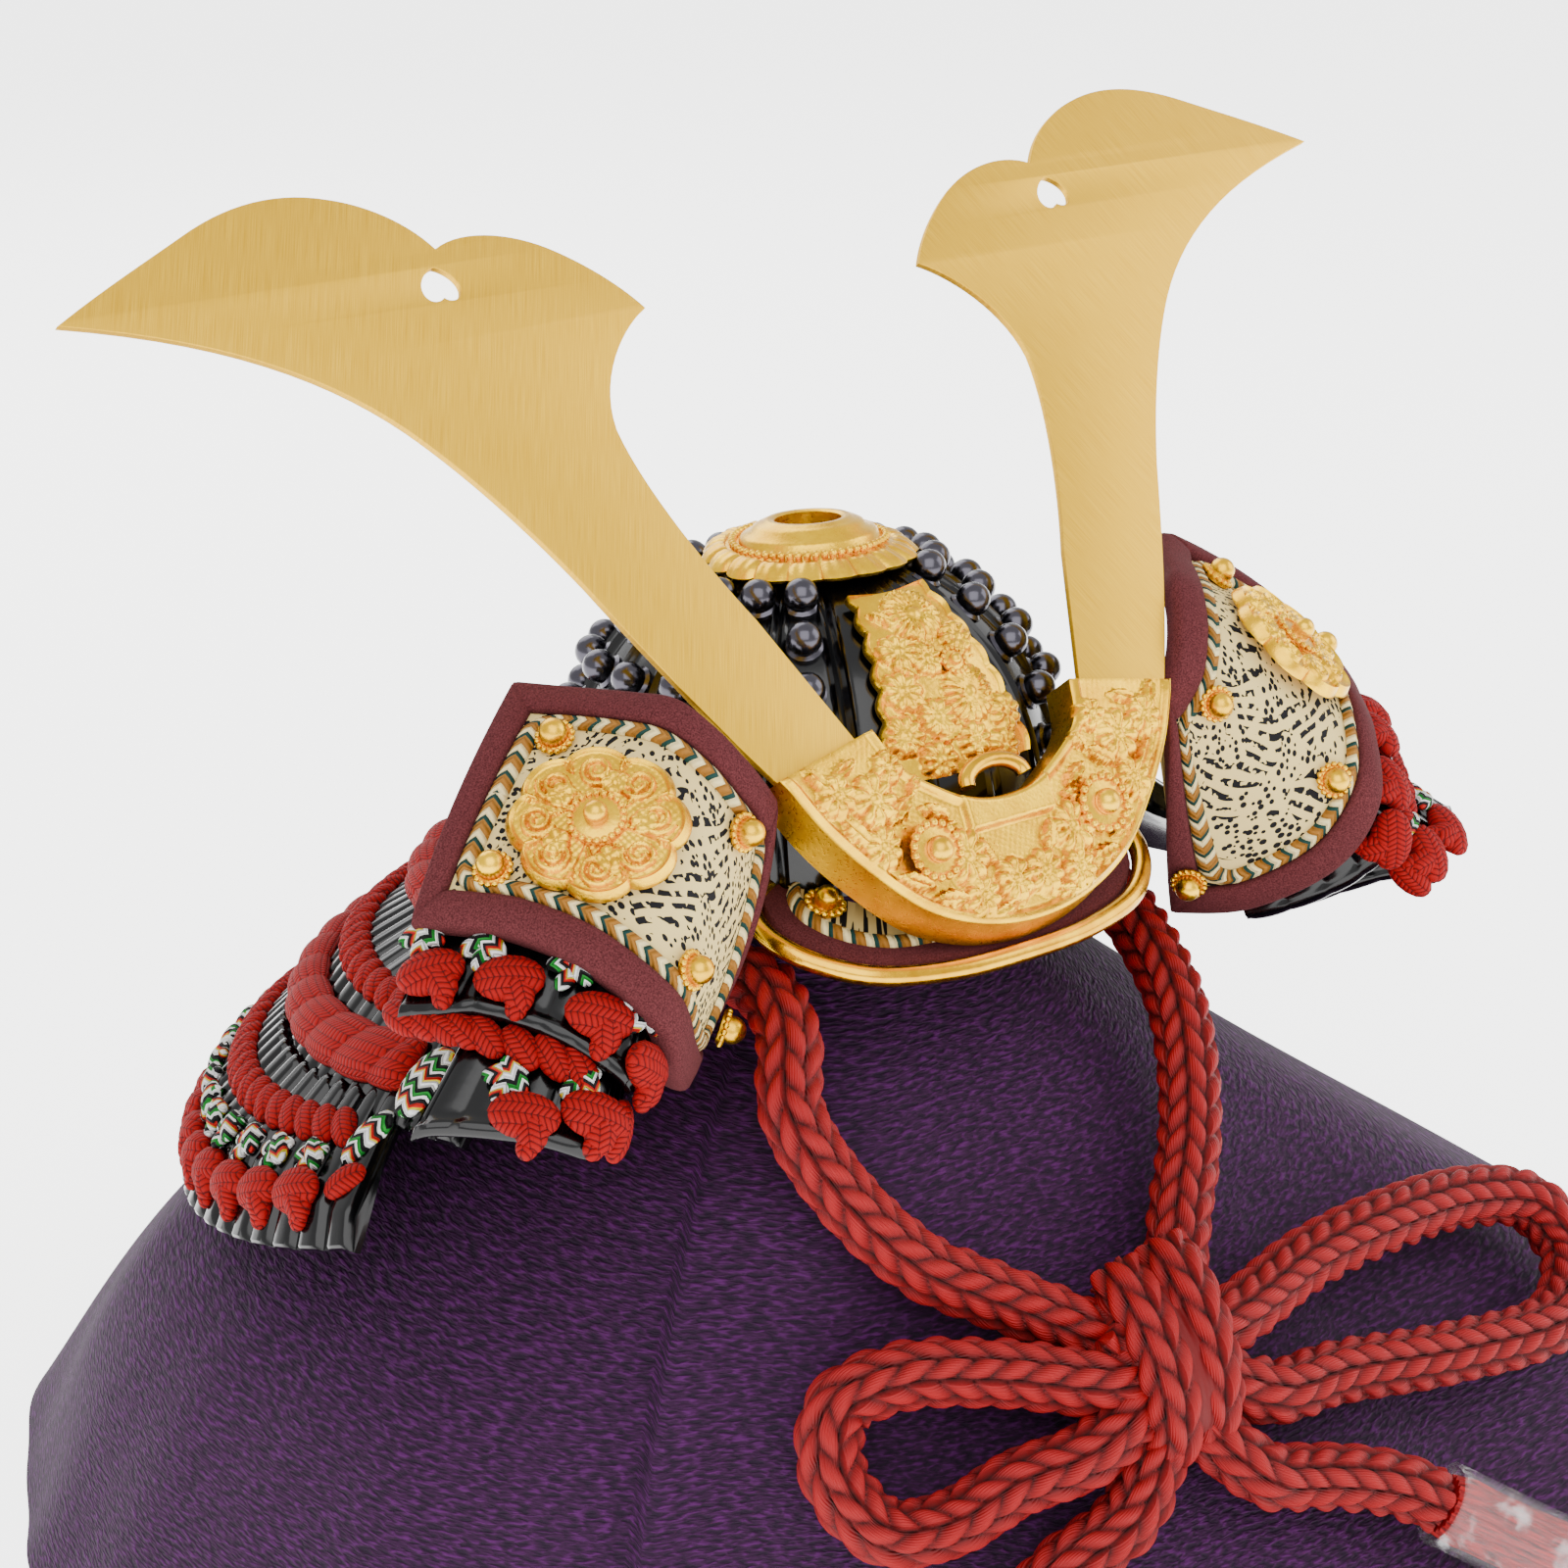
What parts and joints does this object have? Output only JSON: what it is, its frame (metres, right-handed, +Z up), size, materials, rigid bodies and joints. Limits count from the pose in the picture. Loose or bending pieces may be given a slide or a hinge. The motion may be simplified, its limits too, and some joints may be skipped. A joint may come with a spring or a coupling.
{
  "type": "kabuto samurai helmet on a cloth-covered stand",
  "caption": "Ornamental samurai helmet with gilt horns, leather flaps, laced neck guard and tied red cord, resting on a stand under purple cloth.",
  "frame": {"origin": "on the floor, at the middle of the footprint without the loose cord", "axes": "+Z up, -Y the way the face of the helmet looks, +X the left hand of a wearer"},
  "size_m": [0.2934, 0.2952, 0.2197],
  "materials": {
    "cast_gold": "bright cast gold",
    "brushed_gold": "brushed gold plate",
    "gold_wire": "polished gold wire",
    "black_lacquer": "gloss black lacquer",
    "brown_leather": "matt brown leather",
    "printed_leather": "cream leather printed in black",
    "red_lacing": "red braided silk lacing",
    "red_cord": "red braided silk cord",
    "purple_crepe": "dark purple crepe",
    "plain_wood": "plain sanded wood",
    "clear_plastic": "clear plastic sleeve"
  },
  "bodies": {
    "root": {"horn_right": "brushed_gold", "horn_left": "brushed_gold", "crest_stand": "cast_gold", "crest_loop": "gold_wire", "crest_stud_left": "cast_gold", "crest_stud_right": "cast_gold", "visor_plate": "brown_leather", "visor_rim": "gold_wire", "visor_stud_left": "cast_gold", "visor_stud_right": "cast_gold", "bowl_plates_front": "black_lacquer", "bowl_plates_right": "black_lacquer", "bowl_plates_back": "black_lacquer", "bowl_plates_left": "black_lacquer", "crown_finial": "cast_gold", "front_panel": "cast_gold", "flap_board_left": "printed_leather", "flap_border_left": "brown_leather", "flap_medallion_left": "cast_gold", "medallion_boss_left": "cast_gold", "flap_stud_upper_back_left": "cast_gold", "flap_stud_lower_back_left": "cast_gold", "flap_stud_upper_front_left": "cast_gold", "flap_stud_lower_middle_left": "cast_gold", "flap_stud_lower_front_left": "cast_gold", "flap_board_right": "printed_leather", "flap_border_right": "brown_leather", "flap_medallion_right": "cast_gold", "medallion_boss_right": "cast_gold", "flap_stud_upper_back_right": "cast_gold", "flap_stud_lower_back_right": "cast_gold", "flap_stud_upper_front_right": "cast_gold", "flap_stud_lower_middle_right": "cast_gold", "flap_stud_lower_front_right": "cast_gold", "guard_lame_top": "black_lacquer", "guard_lame_middle": "black_lacquer", "guard_lame_bottom": "black_lacquer", "guard_lacing_upper": "red_lacing", "guard_lacing_middle": "red_lacing", "guard_lacing_lower": "red_lacing", "ear_board_upper_left": "black_lacquer", "ear_board_lower_left": "black_lacquer", "ear_lacing_upper_left": "red_lacing", "ear_lacing_lower_left": "red_lacing", "ear_board_upper_right": "black_lacquer", "ear_board_lower_right": "black_lacquer", "ear_lacing_upper_right": "red_lacing", "ear_lacing_lower_right": "red_lacing", "stand_post": "plain_wood", "stand_cloth": "purple_crepe", "cord_neck_run": "red_cord", "cord_loop_left": "red_cord", "cord_loop_right": "red_cord", "cord_tail_left": "red_cord", "cord_tail_right": "red_cord", "cord_knot": "red_cord", "cord_tassel_right": "red_cord", "tassel_sleeve_right": "clear_plastic", "cord_tassel_left": "red_cord", "tassel_sleeve_left": "clear_plastic"}
  },
  "joints": []
}
